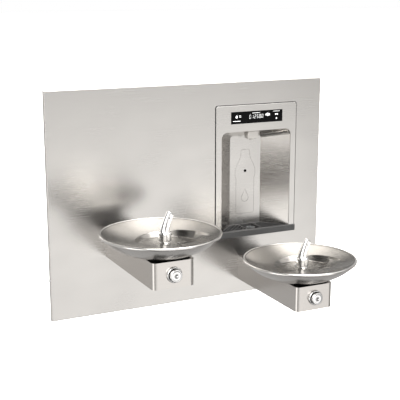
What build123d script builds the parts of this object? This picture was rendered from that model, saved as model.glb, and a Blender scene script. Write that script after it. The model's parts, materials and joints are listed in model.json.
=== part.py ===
from build123d import *
import os
from math import acos, cos, sin

os.makedirs("parts", exist_ok=True)

# Two-level wall drinking fountain with a bottle filler.  Millimetres.
# Frame: origin on the wall plane at the centre of the four wall bolts,
# +X to the user's right, +Y into the wall, +Z up.

# ---------------------------------------------------------------- fits
running_fit = 0.05        # radial clearance of a sliding stem in its guide
free_gap = 0.5            # gap round a cap or cover that must not rub
hole_gap = 0.3            # radial clearance of a fastener or pipe in its hole
joint_gap = 0.3           # gap between neighbouring trims

# ---------------------------------------------------------------- back panel
panel_width = 1000.0
panel_height = 743.0
flange_depth = 14.0       # the panel's face stands this far off the wall
panel_sheet = 1.5
panel_bend = 2.5          # outside radius of the folded edges
panel_screw_rise = 136.0  # side screw above the panel's bottom edge
panel_screw_radius = 2.5
panel_screw_head = 4.5

# ---------------------------------------------------------------- wall frame
frame_sheet = 3.0
frame_inset = 4.0         # frame edge inside the panel's flanges
rim_member = 34.0         # width of the frame's outer members
rail_member = 34.0        # width of the rails that carry the arms
rail_gap = 66.0           # clear width between the two rails of one arm
spine_x = 50.0            # centre of the spine beside the filler
wall_bolt_pitch_x = 860.0
wall_bolt_pitch_z = 600.0
wall_bolt_hole = 5.0
ear_size = 60.0

# ---------------------------------------------------------------- arms
arm_pitch = 488.0         # between the two arms' centres
arm_width = 135.0
arm_height = 81.0
arm_reach = 392.0         # from the panel's face to the arm's front
arm_corner = 15.0
arm_sheet = 2.0
arm_rear_plate = 3.0
arm_lip = 6.0             # inward lip along the top edge
arm_foot = 12.0           # inward flange that takes the bottom cover
left_arm_rise = 195.0     # arm's underside above the panel's bottom edge
level_drop = 143.0        # right arm below the left one
arm_bolt_radius = 4.0
arm_bolt_inset = 18.0     # bolt row from the arm's bottom and top edge
cover_sheet = 1.5
cover_screw_radius = 2.0
cover_screw_head = 4.0

# ---------------------------------------------------------------- bowls
bowl_radius = 184.0
bowl_height = 65.0
bowl_offset = 296.0       # bowl centre from the panel's face
bowl_sheet = 1.2
bead_size = 8.0           # rolled rim
bowl_foot_radius = 50.0   # flat part of the underside
flare_depth = 34.0        # depth of the flare at the bowl's axis
flare_knee_radius = 120.0
flare_knee_depth = 24.0
pool_depth = 42.0
pool_radius = 78.0
pool_draft = 14.0         # the pool's floor is this much smaller in radius
pool_x = 38.0             # pool's centre from the bowl's axis
pool_y = 36.0
saddle_sheet = 3.0
saddle_back = 70.0        # saddle reaches this far behind the bowl's axis
saddle_tab = 20.0

# ---------------------------------------------------------------- bubblers
bubbler_x = 18.0          # from the bowl's axis
bubbler_y = 10.0
bubbler_shank = 8.0
bubbler_bore = 3.2
pedestal_radius = 17.0
pedestal_height = 9.0
bubbler_body_radius = 20.0
bubbler_body_height = 31.0
bubbler_body_round = 8.0  # round of the body's top edge
bubbler_body_ease = 3.0   # round of its bottom edge
bubbler_height = 96.0     # spout's tip above the pool's floor
spout_lean = 19.0         # spout's tip beside the shank's axis
spout_tip_round = 3.0
spout_root_width = 30.0   # the spout tapers from root to tip
spout_root_thickness = 28.0
spout_tip_width = 24.0
spout_tip_thickness = 16.0
spout_root_tilt = 9.0
spout_tip_tilt = 30.0
spout_curve = 1.6         # power of the spout's lean with its height
spout_set_back = 0.2      # root's shift away from the lean, as a share of it
jet_radius = 1.5          # hole in the spout's front
bubbler_shank_rise = 22.0 # shank's end above the tap valve's axis
nut_height = 6.0
nut_across = 24.0

# ---------------------------------------------------------------- bowl wastes
strainer_x = 34.0         # from the bowl's axis
strainer_y = 47.0
waste_x = 14.0            # waste's way through the panel, from the arm's centre
strainer_radius = 19.0
strainer_sheet = 1.5
strainer_hole = 2.0
tail_radius = 14.0
waste_radius = 15.875     # 1-1/4 in tube
waste_wall = 1.2
waste_bend = 30.0
waste_axis_rise = 36.0    # horizontal waste above the arm's underside
waste_y_behind = 50.0     # waste stack behind the wall plane
collector_radius = 17.6   # level collecting pipe
stack_radius = 20.6       # upright stack
outlet_radius = 19.05     # 1-1/2 in outlet tube
outlet_length = 40.0
socket_depth = 12.0
socket_reach = 4.0        # sockets stand this far out of the stack
stack_overrun = 24.0      # closed end of each pipe past its last branch
waste_outlet_drop = 65.0  # outlet below the collecting pipe

# ---------------------------------------------------------------- push buttons
button_radius = 19.5
button_length = 13.0
button_travel = 4.0
button_ring_radius = 24.0
button_ring_height = 6.0
button_sleeve_radius = 18.0
button_sleeve_length = 14.0
button_stem_radius = 6.0
spring_pocket_radius = 11.0
spring_radius = 8.5
spring_wire = 0.8
spring_turns = 5.0

# ---------------------------------------------------------------- tap valves
valve_radius = 16.0
valve_collar_radius = 23.0
valve_length = 40.0
valve_shoulder = 4.0      # wall between the collar and the valve's body
valve_chamber_radius = 9.0
plunger_radius = 3.0
plunger_length = 24.0
plunger_head_radius = 7.0
port_radius = 6.0
port_spread = 7.5
port_reach = 24.0
tube_radius = 3.175
tube_wall = 0.8
supply_x = -18.0          # supply tube's way through the panel, from the arm's centre
supply_y_behind = 20.0

# ---------------------------------------------------------------- bottle filler
filler_x = 244.5          # centre of the filler
surround_width = 312.0
surround_bottom = 204.0   # above the panel's bottom edge
surround_top = 663.0
surround_sheet = 3.0
surround_corner = 8.0
surround_reveal = 2.2     # open groove between the surround and the panel
surround_flange = 9.0     # flange behind the panel
bay_width = 270.0
bay_top = 573.0
bay_corner = 22.0
bay_depth = 78.0
bay_back_width = 121.5
bay_back_top = 546.0
bay_back_corner = 13.0
liner_sheet = 1.5
window_width = 200.0
window_height = 41.0
window_centre = 620.75    # above the panel's bottom edge
window_sheet = 2.0
board_sheet = 1.6
tray_top = 226.0
tray_width = 319.0
tray_lip_proud = 7.0
tray_pocket = 12.0
tray_step = 4.0           # tray inside the bay is shallower than its lip
tray_wall = 5.0
rib_width = 3.0
rib_pitch = 16.0
tray_drain_radius = 14.5
tray_drain_hole = 9.0
tray_drain_depth = 32.0   # drain behind the panel's face
tray_waste_shift = 54.0   # tray waste joins the collecting pipe this far to the left
nozzle_width = 43.0
nozzle_bottom = 542.0
nozzle_front_depth = 20.0
nozzle_length = 30.0
nozzle_corner = 6.0
nozzle_tip_radius = 9.0
nozzle_tip_length = 5.0
sensor_rise = 419.0
sensor_radius = 5.0

# ---------------------------------------------------------------- services
plate_sheet = 2.0
plate_low = -90.0
plate_high = 170.0
solenoid_x = 15.0
solenoid_z = -30.0
solenoid_block = 32.0
solenoid_guide = 7.0
solenoid_guide_length = 32.0
solenoid_plunger_radius = 5.0
solenoid_plunger_length = 36.0
solenoid_travel = 2.0
coil_radius = 17.0
manifold_z = -245.0
manifold_length = 90.0
manifold_block = 24.0
inlet_radius = 6.0
inlet_length = 70.0
wire_radius = 2.0
control_right = -30.0
control_top = 150.0
control_width = 120.0
control_height = 90.0
control_depth = 45.0

# ---------------------------------------------------------------- worked-out places
panel_front = -flange_depth
panel_back = panel_front + panel_sheet
panel_bottom = -panel_height / 2
panel_top = panel_height / 2
arm_front = panel_front - arm_reach
arm_centre_z = arm_height / 2
bowl_y = panel_front - bowl_offset
rim_z = arm_height + bowl_height
floor_z = rim_z - pool_depth
saddle_z = arm_height - arm_sheet
bubbler_place = Vector(bubbler_x, bowl_y + bubbler_y, floor_z)
waste_place = Vector(strainer_x, bowl_y + strainer_y, floor_z)
bubbler_shank_z = arm_centre_z + bubbler_shank_rise
rail_x = (rail_gap + rail_member) / 2
plate_back = 0.0          # the service plate's back is flush with the frame's
arm_bolt_rows = (arm_bolt_inset, arm_height - arm_bolt_inset)
supply_rise = arm_centre_z - port_spread
button_back = arm_front - button_ring_height + 1.0
sleeve_end = arm_front + button_sleeve_length
stem_end = sleeve_end + button_travel
valve_end = sleeve_end + valve_length
port_y = sleeve_end + 0.65 * valve_length
plunger_end = stem_end + plunger_length
tray_top_z = panel_bottom + tray_top
surround_bottom_z = panel_bottom + surround_bottom
surround_top_z = panel_bottom + surround_top
bay_back_y = panel_front + bay_depth
sensor_z = panel_bottom + sensor_rise
window_z = panel_bottom + window_centre
nozzle_z = panel_bottom + nozzle_bottom
nozzle_y = panel_front + nozzle_front_depth + nozzle_length / 2
tray_drain_y = panel_front + tray_drain_depth
right_arm_z = panel_bottom + left_arm_rise - level_drop
collector_z = right_arm_z + waste_axis_rise

fountains = {
    "left": (-arm_pitch / 2, panel_bottom + left_arm_rise),
    "right": (arm_pitch / 2, right_arm_z),
}


# ---------------------------------------------------------------- shape helpers
def block(x0, x1, y0, y1, z0, z1):
    """Box between two opposite corners."""
    centre = Pos((x0 + x1) / 2, (y0 + y1) / 2, (z0 + z1) / 2)
    return centre * Box(x1 - x0, y1 - y0, z1 - z0)


def rod(start, axis, radius, length):
    """Cylinder that starts at a point and runs along an axis."""
    place = Plane(origin=start, z_dir=axis)
    return place * Cylinder(radius, length, align=(Align.CENTER, Align.CENTER, Align.MIN))


def hexagon_nut(start, axis, across, height, bore):
    """Hexagon nut with a plain bore."""
    place = Plane(origin=start, z_dir=axis)
    body = extrude(RegularPolygon(across / 2, 6, major_radius=False), height)
    return place * body - rod(start, axis, bore, height)


def tube(points, radii, outer, wall):
    """Round tube along straight runs joined by tangent arcs."""
    path = FilletPolyline(*points, radius=radii)
    start = Plane(origin=path @ 0, z_dir=path % 0)
    section = start * (Circle(outer) - Circle(outer - wall))
    return sweep(section, path=path)


def cable(points, radii, radius):
    """Solid round cable along straight runs joined by tangent arcs."""
    path = FilletPolyline(*points, radius=radii)
    start = Plane(origin=path @ 0, z_dir=path % 0)
    return sweep(start * Circle(radius), path=path)


def coil_spring(start, length, radius, wire, turns):
    """Compression spring along +Y, between two flat ends."""
    height = length - 2 * wire
    coil = Helix(height / turns, height, radius)
    section = Plane(origin=coil @ 0, z_dir=coil % 0) * Circle(wire)
    spring = sweep(section, path=coil, is_frenet=True)
    return Pos(start.X, start.Y + wire, start.Z) * Rot(-90, 0, 0) * spring


def pan_head_screw(seat, axis, radius, head, length):
    """Screw whose head stands behind the seat and whose shank runs along the axis."""
    shank = rod(seat, axis, radius, length)
    crown = rod(seat, -axis, head, 0.5 * head)
    crown = fillet(crown.faces().sort_by(Axis((0, 0, 0), axis))[0].edges(), 0.2 * head)
    return shank + crown


# ---------------------------------------------------------------- panel and frame
def surround_plan(grow):
    """Outline of the filler's surround in the panel's plane, moved outwards."""
    half = surround_width / 2 + grow
    low = surround_bottom_z + tray_step - 1
    high = surround_top_z + grow
    plan = Rectangle(2 * half, high - low)
    corners = plan.vertices().sort_by(Axis.Y)[2:]
    return Pos(filler_x, (low + high) / 2) * fillet(corners, surround_corner + grow)


def surround_slab(grow, y0, y1):
    """Slab with the surround's outline between two depths."""
    place = Plane(origin=(0, y1, 0), x_dir=(1, 0, 0), z_dir=(0, -1, 0))
    return extrude(place * surround_plan(grow), y1 - y0)


def side_screw(side):
    """Screw through one of the panel's side flanges."""
    seat = Vector(side * panel_width / 2, panel_front + flange_depth / 2, panel_bottom + panel_screw_rise)
    return pan_head_screw(seat, Vector(-side, 0, 0), panel_screw_radius, panel_screw_head, 12)


def panel_passages(x, z, start, length):
    """Ways through a wall behind one arm for its bolts, waste and supply."""
    ways = rod(Vector(x + waste_x, start, z + waste_axis_rise), Vector(0, 1, 0), waste_radius + hole_gap, length)
    ways += rod(Vector(x + supply_x, start, z + supply_rise), Vector(0, 1, 0), tube_radius + hole_gap, length)
    for bolt_x, bolt_z in arm_bolt_places():
        ways += rod(Vector(x + bolt_x, start, z + bolt_z), Vector(0, 1, 0), arm_bolt_radius + hole_gap, length)
    return ways


def arm_bolt_places():
    """Places of one arm's four bolts, from the arm's centre and underside."""
    return [(side * rail_x, row) for side in (-1, 1) for row in arm_bolt_rows]


def make_back_panel():
    """Stainless front sheet with all four edges folded back to the wall."""
    half = panel_width / 2
    body = block(-half, half, panel_front, 0, panel_bottom, panel_top)
    body = fillet(body.faces().sort_by(Axis.Y)[0].edges(), panel_bend)
    inner = block(
        -half + panel_sheet, half - panel_sheet, panel_back, 1,
        panel_bottom + panel_sheet, panel_top - panel_sheet,
    )
    inner = fillet(inner.faces().sort_by(Axis.Y)[0].edges(), panel_bend - panel_sheet)
    body -= inner
    body -= surround_slab(surround_reveal, panel_front - 1, 1)
    for x, z in fountains.values():
        body -= panel_passages(x, z, panel_front - 1, 5)
    for side in (-1, 1):
        seat = Vector(side * (half + 1), panel_front + flange_depth / 2, panel_bottom + panel_screw_rise)
        body -= rod(seat, Vector(-side, 0, 0), panel_screw_radius + hole_gap, 5)
    return body


def make_panel_screws():
    """The two screws that hold the panel's side flanges to the frame."""
    return [side_screw(side) for side in (-1, 1)]


def channel(x0, x1, z0, z1, upright):
    """Folded frame member, open towards the wall, upright or level."""
    member = block(x0, x1, panel_back, 0, z0, z1)
    gap_x = frame_sheet if upright else 0
    gap_z = 0 if upright else frame_sheet
    return member - block(x0 + gap_x, x1 - gap_x, panel_back + frame_sheet, 1, z0 + gap_z, z1 - gap_z)


def make_wall_frame():
    """Welded galvanised frame that carries the panel, the arms and the filler."""
    half = panel_width / 2 - panel_sheet - frame_inset
    low = panel_bottom + panel_sheet + frame_inset
    high = panel_top - panel_sheet - frame_inset
    shelf = surround_bottom_z - 8
    frame = channel(-half, half, low, low + rim_member, False)
    frame += channel(-half, half, high - rim_member, high, False)
    frame += channel(-half, -half + rim_member, low, high, True)
    frame += channel(half - rim_member, half, low, high, True)
    frame += channel(spine_x - rail_member / 2, spine_x + rail_member / 2, low, high, True)
    frame += channel(spine_x, half, shelf - rim_member, shelf, False)
    tops = {"left": high, "right": shelf}
    for name, (x, z) in fountains.items():
        for side in (-1, 1):
            centre = x + side * rail_x
            frame += channel(centre - rail_member / 2, centre + rail_member / 2, low, tops[name], True)
            for row in arm_bolt_rows:
                nut = Vector(centre, panel_back + frame_sheet, z + row)
                frame += hexagon_nut(nut, Vector(0, 1, 0), 4 * arm_bolt_radius, 6, arm_bolt_radius)
        frame -= panel_passages(x, z, panel_back - 1, 12)
    for side in (-1, 1):
        for end in (-1, 1):
            x = side * wall_bolt_pitch_x / 2
            z = end * wall_bolt_pitch_z / 2
            inner_x = x - side * ear_size / 2
            inner_z = z - end * ear_size / 2
            ear = block(
                min(inner_x, side * half), max(inner_x, side * half), -frame_sheet, 0,
                min(inner_z, end * high), max(inner_z, end * high),
            )
            frame += ear
            frame -= rod(Vector(x, -20, z), Vector(0, 1, 0), wall_bolt_hole, 40)
        lug_x = side * half
        lug_z = panel_bottom + panel_screw_rise
        lug = block(
            min(lug_x, lug_x + side * (frame_inset - joint_gap)), max(lug_x, lug_x + side * (frame_inset - joint_gap)),
            panel_back + panel_bend, 0, lug_z - 12, lug_z + 12,
        )
        frame += lug
        frame -= rod(
            Vector(side * panel_width / 2, panel_front + flange_depth / 2, lug_z),
            Vector(-side, 0, 0), panel_screw_radius + hole_gap, 14,
        )
    return frame


# ---------------------------------------------------------------- one arm, from its own centre and underside
def arm_plan(inset):
    """Plan of the arm, moved inwards: square at the panel, rounded at the front."""
    half = arm_width / 2 - inset
    depth = arm_reach - inset
    plan = Pos(0, panel_front - depth / 2) * Rectangle(2 * half, depth)
    corners = plan.vertices().sort_by(Axis.Y)[:2]
    return fillet(corners, arm_corner - inset)


def arm_ring(outside, inside, z0, z1):
    """Band that follows the arm's plan between two insets."""
    return Pos(0, 0, z0) * extrude(arm_plan(outside) - arm_plan(inside), z1 - z0)


def cover_screw_places():
    """Places of the bottom cover's four screws."""
    x = arm_width / 2 - arm_sheet - arm_foot / 2
    rows = (arm_front + 3 * arm_corner, panel_front - 3 * arm_corner)
    return [Vector(side * x, y, 0) for side in (-1, 1) for y in rows]


def make_arm_shell():
    """Folded arm: two sides, a rounded front, a rear plate, a top lip and a bottom flange."""
    foot_z = cover_sheet
    shell = arm_ring(0, arm_sheet, 0, arm_height)
    shell += arm_ring(arm_sheet, arm_sheet + arm_lip, arm_height - arm_sheet, arm_height)
    shell += arm_ring(arm_sheet, arm_sheet + arm_foot, foot_z, foot_z + arm_sheet)
    inner = arm_width / 2 - arm_sheet
    shell += block(-inner, inner, panel_front - arm_rear_plate, panel_front, foot_z, arm_height)
    shell -= panel_passages(0, 0, panel_front - 5, 6)
    front = Vector(0, arm_front - 1, arm_centre_z)
    shell -= rod(front, Vector(0, 1, 0), button_sleeve_radius + hole_gap, arm_sheet + 2)
    for place in cover_screw_places():
        shell -= rod(place, Vector(0, 0, 1), cover_screw_radius + hole_gap, 8)
    return shell


def make_bottom_cover():
    """Flat cover that closes the arm's underside, flush with the side walls."""
    plan = arm_plan(arm_sheet + free_gap) - Pos(0, panel_front) * Rectangle(arm_width, 2 * free_gap)
    cover = extrude(plan, cover_sheet - 0.1)
    for place in cover_screw_places():
        cover -= rod(place, Vector(0, 0, 1), cover_screw_radius + hole_gap, 8)
    return cover


def make_cover_screws():
    """Screws of the bottom cover."""
    up = Vector(0, 0, 1)
    return [pan_head_screw(p, up, cover_screw_radius, cover_screw_head, 9) for p in cover_screw_places()]


def make_arm_bolts():
    """Bolts that fasten the arm through the panel to the frame's rails."""
    bolts = []
    for x, z in arm_bolt_places():
        seat = Vector(x, panel_front - arm_rear_plate, z)
        head = hexagon_nut(seat, Vector(0, -1, 0), 3.2 * arm_bolt_radius, 1.3 * arm_bolt_radius, 0.5)
        shank = rod(seat - Vector(0, 1.3 * arm_bolt_radius, 0), Vector(0, 1, 0), arm_bolt_radius, 20)
        bolts.append(head + shank)
    return bolts


def make_bowl_saddle():
    """Black cross bracket that carries the bowl between the arm's side walls."""
    half = arm_width / 2 - arm_sheet - 0.1
    y1 = bowl_y + saddle_back
    plan = arm_plan(arm_sheet + 0.1) & Pos(0, y1 - arm_reach) * Rectangle(arm_width, 2 * arm_reach)
    saddle = Pos(0, 0, saddle_z - saddle_sheet) * extrude(plan, saddle_sheet)
    saddle += rod(Vector(0, bowl_y, saddle_z - saddle_sheet), Vector(0, 0, 1), bowl_foot_radius - 1,
                  arm_height - saddle_z + saddle_sheet)
    for side in (-1, 1):
        tab = block(0, saddle_sheet, bowl_y - saddle_back, y1, saddle_z - saddle_tab, saddle_z)
        saddle += Pos(half - saddle_sheet if side > 0 else -half, 0, 0) * tab
    saddle -= shank_hole() + tail_hole()
    return saddle


def shank_hole():
    """Way for the bubbler's shank down through the bowl and its saddle."""
    low = Vector(bubbler_place.X, bubbler_place.Y, 0)
    return rod(low, Vector(0, 0, 1), bubbler_shank + hole_gap, rim_z)


def tail_hole():
    """Way for the waste's tail down through the bowl and its saddle."""
    low = Vector(waste_place.X, waste_place.Y, 0)
    return rod(low, Vector(0, 0, 1), tail_radius + hole_gap, rim_z)


def basin_hollow(grow):
    """Inside of the bowl: a turned flare and an off-centre pool, grown outwards by a sheet."""
    mouth = bowl_radius - bead_size
    knee = (flare_knee_radius, -flare_knee_depth - grow)
    rim = (mouth + grow, 0)
    low = (0, -flare_depth - grow)
    edge = (mouth + grow, -1.5)
    curve = ThreePointArc(edge, knee, low)
    outline = curve + Polyline(low, (0, 20), (mouth + grow, 20), rim, edge)
    profile = Plane.XZ * make_face(outline)
    flare = revolve(profile, Axis.Z)
    top = Plane.XY.offset(-flare_knee_depth + 6) * Circle(pool_radius + pool_draft / 2 + grow)
    floor = Plane.XY.offset(-pool_depth - grow) * Circle(pool_radius - pool_draft + grow)
    pool = Pos(pool_x, pool_y, 0) * loft([top, floor])
    trimmed = pool & Cylinder(mouth, 200)
    return flare + trimmed


def make_bowl():
    """Pressed stainless basin with a rolled rim, a flare and a pool round the bubbler."""
    body = basin_hollow(bowl_sheet) & Pos(0, 0, -100) * Cylinder(bowl_radius, 200)
    body -= basin_hollow(0)
    bead_profile = Pos(bowl_radius - bead_size / 2, -bead_size / 2) * Rectangle(bead_size, bead_size)
    bead_profile = fillet(bead_profile.vertices(), 0.4 * bead_size)
    bead = revolve(Plane.XZ * bead_profile, Axis.Z)
    bowl = Pos(0, bowl_y, rim_z) * (body + bead)
    return bowl - shank_hole() - tail_hole()


def make_bowl_underside():
    """Smooth outer skin under the basin, from the rim's bead to the flat foot."""
    top_radius = bowl_radius - bead_size / 2 + bowl_sheet / 2
    reach = top_radius - bowl_foot_radius
    fall = bowl_height - bead_size
    bend = (reach ** 2 + fall ** 2) / (2 * fall)
    centre_z = bend - bowl_height

    def curve_point(radius, angle):
        """Point on the underside's round, at an angle from straight down."""
        return (bowl_foot_radius + radius * sin(angle), centre_z - radius * cos(angle))

    outer_angle = acos((centre_z + bead_size) / bend)
    inner = bend - bowl_sheet
    inner_angle = acos((centre_z + bead_size) / inner)
    outer_curve = ThreePointArc(*[curve_point(bend, outer_angle * share) for share in (1, 0.5, 0)])
    inner_curve = ThreePointArc(*[curve_point(inner, inner_angle * share) for share in (0, 0.5, 1)])
    outline = outer_curve + Polyline(
        curve_point(bend, 0), (0, -bowl_height), (0, bowl_sheet - bowl_height), curve_point(inner, 0),
    )
    outline += inner_curve
    outline += Line(curve_point(inner, inner_angle), curve_point(bend, outer_angle))
    skin = revolve(Plane.XZ * make_face(outline), Axis.Z)
    return Pos(0, bowl_y, rim_z) * skin - shank_hole() - tail_hole()


def between(start, end, share):
    """Value a share of the way from a start to an end."""
    return start + (end - start) * share


def spout_section(share):
    """Oval of the bubbler's spout, from its root in the body (0) to its tip (1)."""
    root_z = pedestal_height + bubbler_body_height - bubbler_body_round - bubbler_body_ease
    z = between(root_z, bubbler_height, share)
    x = spout_lean * (share ** spout_curve - spout_set_back * (1 - share) ** 2)
    half_width = between(spout_root_width, spout_tip_width, share) / 2
    half_thickness = between(spout_root_thickness, spout_tip_thickness, 1 - (1 - share) ** 2) / 2
    tilt = between(spout_root_tilt, spout_tip_tilt, share)
    return Pos(x, 0, z) * Rot(0, tilt, 0) * Ellipse(half_width, half_thickness)


def make_bubbler():
    """Chrome bubbler: pedestal, round body and a flat spout that leans to the right."""
    up = Vector(0, 0, 1)
    pedestal = rod(Vector(0, 0, 0), up, pedestal_radius, pedestal_height)
    shell = rod(Vector(0, 0, pedestal_height), up, bubbler_body_radius, bubbler_body_height)
    shell = fillet(shell.faces().sort_by(Axis.Z)[0].edges(), bubbler_body_ease)
    shell = fillet(shell.faces().sort_by(Axis.Z)[-1].edges(), bubbler_body_round)
    sections = [spout_section(share) for share in (0, 1 / 3, 2 / 3, 1)]
    spout = loft(sections)
    spout = fillet(spout.faces().sort_by(Axis.Z)[-1].edges(), spout_tip_round)
    shank_length = floor_z - bubbler_shank_z
    shank = rod(Vector(0, 0, 0), -up, bubbler_shank, shank_length)
    bore = rod(Vector(0, 0, -shank_length), up, bubbler_bore, shank_length + 2 * pedestal_height)
    body = pedestal + shell + spout + shank - bore
    jet_start = Vector(0.6 * spout_lean, -spout_tip_width, 0.85 * bubbler_height)
    body -= rod(jet_start, Vector(0, 1, 0), jet_radius, spout_tip_width)
    return Pos(*bubbler_place) * body


def make_bubbler_nut():
    """Nut that clamps the bubbler, the bowl and the saddle together."""
    seat = Vector(bubbler_place.X, bubbler_place.Y, saddle_z - saddle_sheet)
    return hexagon_nut(seat, Vector(0, 0, -1), nut_across, nut_height, bubbler_shank)


def make_strainer():
    """Perforated waste strainer with its tail through the bowl."""
    top = Vector(waste_place.X, waste_place.Y, floor_z)
    disc = rod(top, Vector(0, 0, 1), strainer_radius, strainer_sheet)
    for ring, count in ((4.5, 5), (9.5, 10)):
        for spot in PolarLocations(ring, count):
            hole = rod(Vector(0, 0, -1), Vector(0, 0, 1), strainer_hole, strainer_sheet + 2)
            disc -= Pos(*top) * spot * hole
    low = saddle_z - saddle_sheet - 14
    tail = rod(Vector(top.X, top.Y, low), Vector(0, 0, 1), tail_radius, floor_z - low)
    tail -= rod(Vector(top.X, top.Y, low), Vector(0, 0, 1), tail_radius - waste_wall, floor_z - low)
    return disc + tail


def make_waste_pipe():
    """Waste from the strainer's tail, down into the arm and back through the panel."""
    top = saddle_z - saddle_sheet - 2
    points = [
        (waste_place.X, waste_place.Y, top),
        (waste_place.X, waste_place.Y, waste_axis_rise),
        (waste_x, panel_front - 2 * waste_bend, waste_axis_rise),
        (waste_x, waste_y_behind - stack_radius - socket_reach + socket_depth, waste_axis_rise),
    ]
    return tube(points, [waste_bend, 2 * waste_bend], waste_radius, waste_wall)


def make_button_ring():
    """Chrome ring round the push button, with its sleeve through the arm's front."""
    along = Vector(0, 1, 0)
    front = arm_front - button_ring_height
    centre = Vector(0, front, arm_centre_z)
    flange = rod(centre, along, button_ring_radius, button_ring_height)
    flange = fillet(flange.faces().sort_by(Axis.Y)[0].edges(), 2.5)
    ring = flange + rod(Vector(0, arm_front, arm_centre_z), along, button_sleeve_radius, button_sleeve_length)
    ring -= rod(centre, along, button_radius + free_gap, button_ring_height - 0.5)
    ring -= rod(centre, along, spring_pocket_radius, button_ring_height + button_sleeve_length - 6)
    ring -= rod(centre, along, button_stem_radius + running_fit, button_ring_height + button_sleeve_length)
    return ring


def make_button_cap():
    """Push button with its stem."""
    along = Vector(0, 1, 0)
    front = button_back - button_length
    cap = rod(Vector(0, front, arm_centre_z), along, button_radius, button_length)
    cap = fillet(cap.faces().sort_by(Axis.Y)[0].edges(), 3)
    cap -= rod(Vector(0, front, arm_centre_z), along, 2.0, 0.6)
    stem = rod(Vector(0, button_back, arm_centre_z), along, button_stem_radius, stem_end - button_back)
    return cap + stem


def make_button_spring():
    """Return spring between the cap and the bottom of the ring's pocket."""
    start = Vector(0, button_back, arm_centre_z)
    length = sleeve_end - 6 - button_back
    return coil_spring(start, length, spring_radius, spring_wire, spring_turns)


def make_valve_body():
    """Tap valve on the button's sleeve, with its inlet on the left and its outlet on the right."""
    along = Vector(0, 1, 0)
    inside = Vector(0, arm_front + arm_sheet, arm_centre_z)
    body = rod(inside, along, valve_collar_radius, button_sleeve_length - arm_sheet + valve_shoulder)
    body += rod(Vector(0, sleeve_end, arm_centre_z), along, valve_radius, valve_length)
    body -= rod(inside, along, button_sleeve_radius + hole_gap, button_sleeve_length - arm_sheet)
    for side in (-1, 1):
        body += rod(Vector(0, port_y, arm_centre_z + side * port_spread), Vector(side, 0, 0), port_radius, port_reach)
    stem_way = button_stem_radius + 4 * running_fit
    body -= rod(Vector(0, sleeve_end, arm_centre_z), along, stem_way, 2 * button_travel + 1)
    body -= rod(Vector(0, sleeve_end, arm_centre_z), along, plunger_radius + running_fit, valve_length / 2)
    chamber_y = plunger_end - 10
    body -= rod(Vector(0, chamber_y, arm_centre_z), along, valve_chamber_radius, valve_end - 6 - chamber_y)
    for side in (-1, 1):
        z = arm_centre_z + side * port_spread
        body -= rod(Vector(0, port_y, z), Vector(side, 0, 0), tube_radius - tube_wall, port_reach)
        body -= rod(Vector(side * (port_reach - 8), port_y, z), Vector(side, 0, 0), tube_radius, 8)
    return body


def make_valve_plunger():
    """Valve plunger that the button's stem pushes off its seat."""
    along = Vector(0, 1, 0)
    rod_part = rod(Vector(0, stem_end, arm_centre_z), along, plunger_radius, plunger_length)
    head = rod(Vector(0, plunger_end - 6, arm_centre_z), along, plunger_head_radius, 4)
    return rod_part + head


def make_outlet_tube():
    """Tube from the valve up to the bubbler's shank."""
    z = arm_centre_z + port_spread
    points = [
        (port_reach - 6, port_y, z),
        (port_reach + 18, port_y, z),
        (bubbler_place.X, bubbler_place.Y, arm_centre_z - 1),
        (bubbler_place.X, bubbler_place.Y, bubbler_shank_z + 4),
    ]
    return tube(points, [12, 15], tube_radius - 0.02, tube_wall)


# ---------------------------------------------------------------- bottle filler
def bay_section(y, width, top, corner, grow):
    """One upright section through the filler's bay, square at the tray and round at the top."""
    half = width / 2 + grow
    low = tray_top_z
    high = top + grow
    place = Plane(origin=(filler_x, y, (low + high) / 2), x_dir=(1, 0, 0), z_dir=(0, -1, 0))
    face = Rectangle(2 * half, high - low)
    corners = face.vertices().sort_by(Axis.Y)[2:]
    return place * fillet(corners, corner + grow)


def bay_volume(grow):
    """Room inside the bay, narrowing from its mouth to the back panel."""
    mouth = bay_section(panel_front, bay_width, panel_bottom + bay_top, bay_corner, grow)
    back = bay_section(bay_back_y, bay_back_width, panel_bottom + bay_back_top, bay_back_corner, grow)
    return loft([mouth, back])


def make_filler_surround():
    """Raised bezel with its bay mouth, its display window and a flange behind the panel."""
    face_y = panel_front - surround_sheet
    wall_y = panel_back + joint_gap
    bezel = surround_slab(0, face_y, wall_y + surround_sheet / 2)
    bezel = fillet(bezel.faces().sort_by(Axis.Y)[0].edges().filter_by(lambda e: e.center().Z > tray_top_z), 0.8)
    bezel += surround_slab(surround_flange, wall_y, wall_y + surround_sheet / 2)
    half = surround_width / 2 + surround_flange
    bezel -= block(filler_x - half, filler_x + half, face_y - 1, 1, surround_bottom_z - 1, tray_top_z + joint_gap)
    behind = surround_slab(-surround_sheet, panel_front, 1)
    mouth = bay_section(panel_front, bay_width, panel_bottom + bay_top, bay_corner, 0)
    bezel -= behind
    bezel -= extrude(mouth, surround_sheet + 1)
    bezel -= block(
        filler_x - window_width / 2 - joint_gap, filler_x + window_width / 2 + joint_gap,
        face_y - 1, panel_front + 1,
        window_z - window_height / 2 - joint_gap, window_z + window_height / 2 + joint_gap,
    )
    return bezel


def make_filler_liner():
    """Splayed side and top walls of the bay."""
    liner = bay_volume(liner_sheet) - bay_volume(0)
    return liner - nozzle_hole()


def nozzle_hole():
    """Way for the nozzle's tail through the bay's top."""
    return rod(Vector(filler_x, nozzle_y, nozzle_z), Vector(0, 0, 1), 5 + hole_gap, 60)


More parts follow.
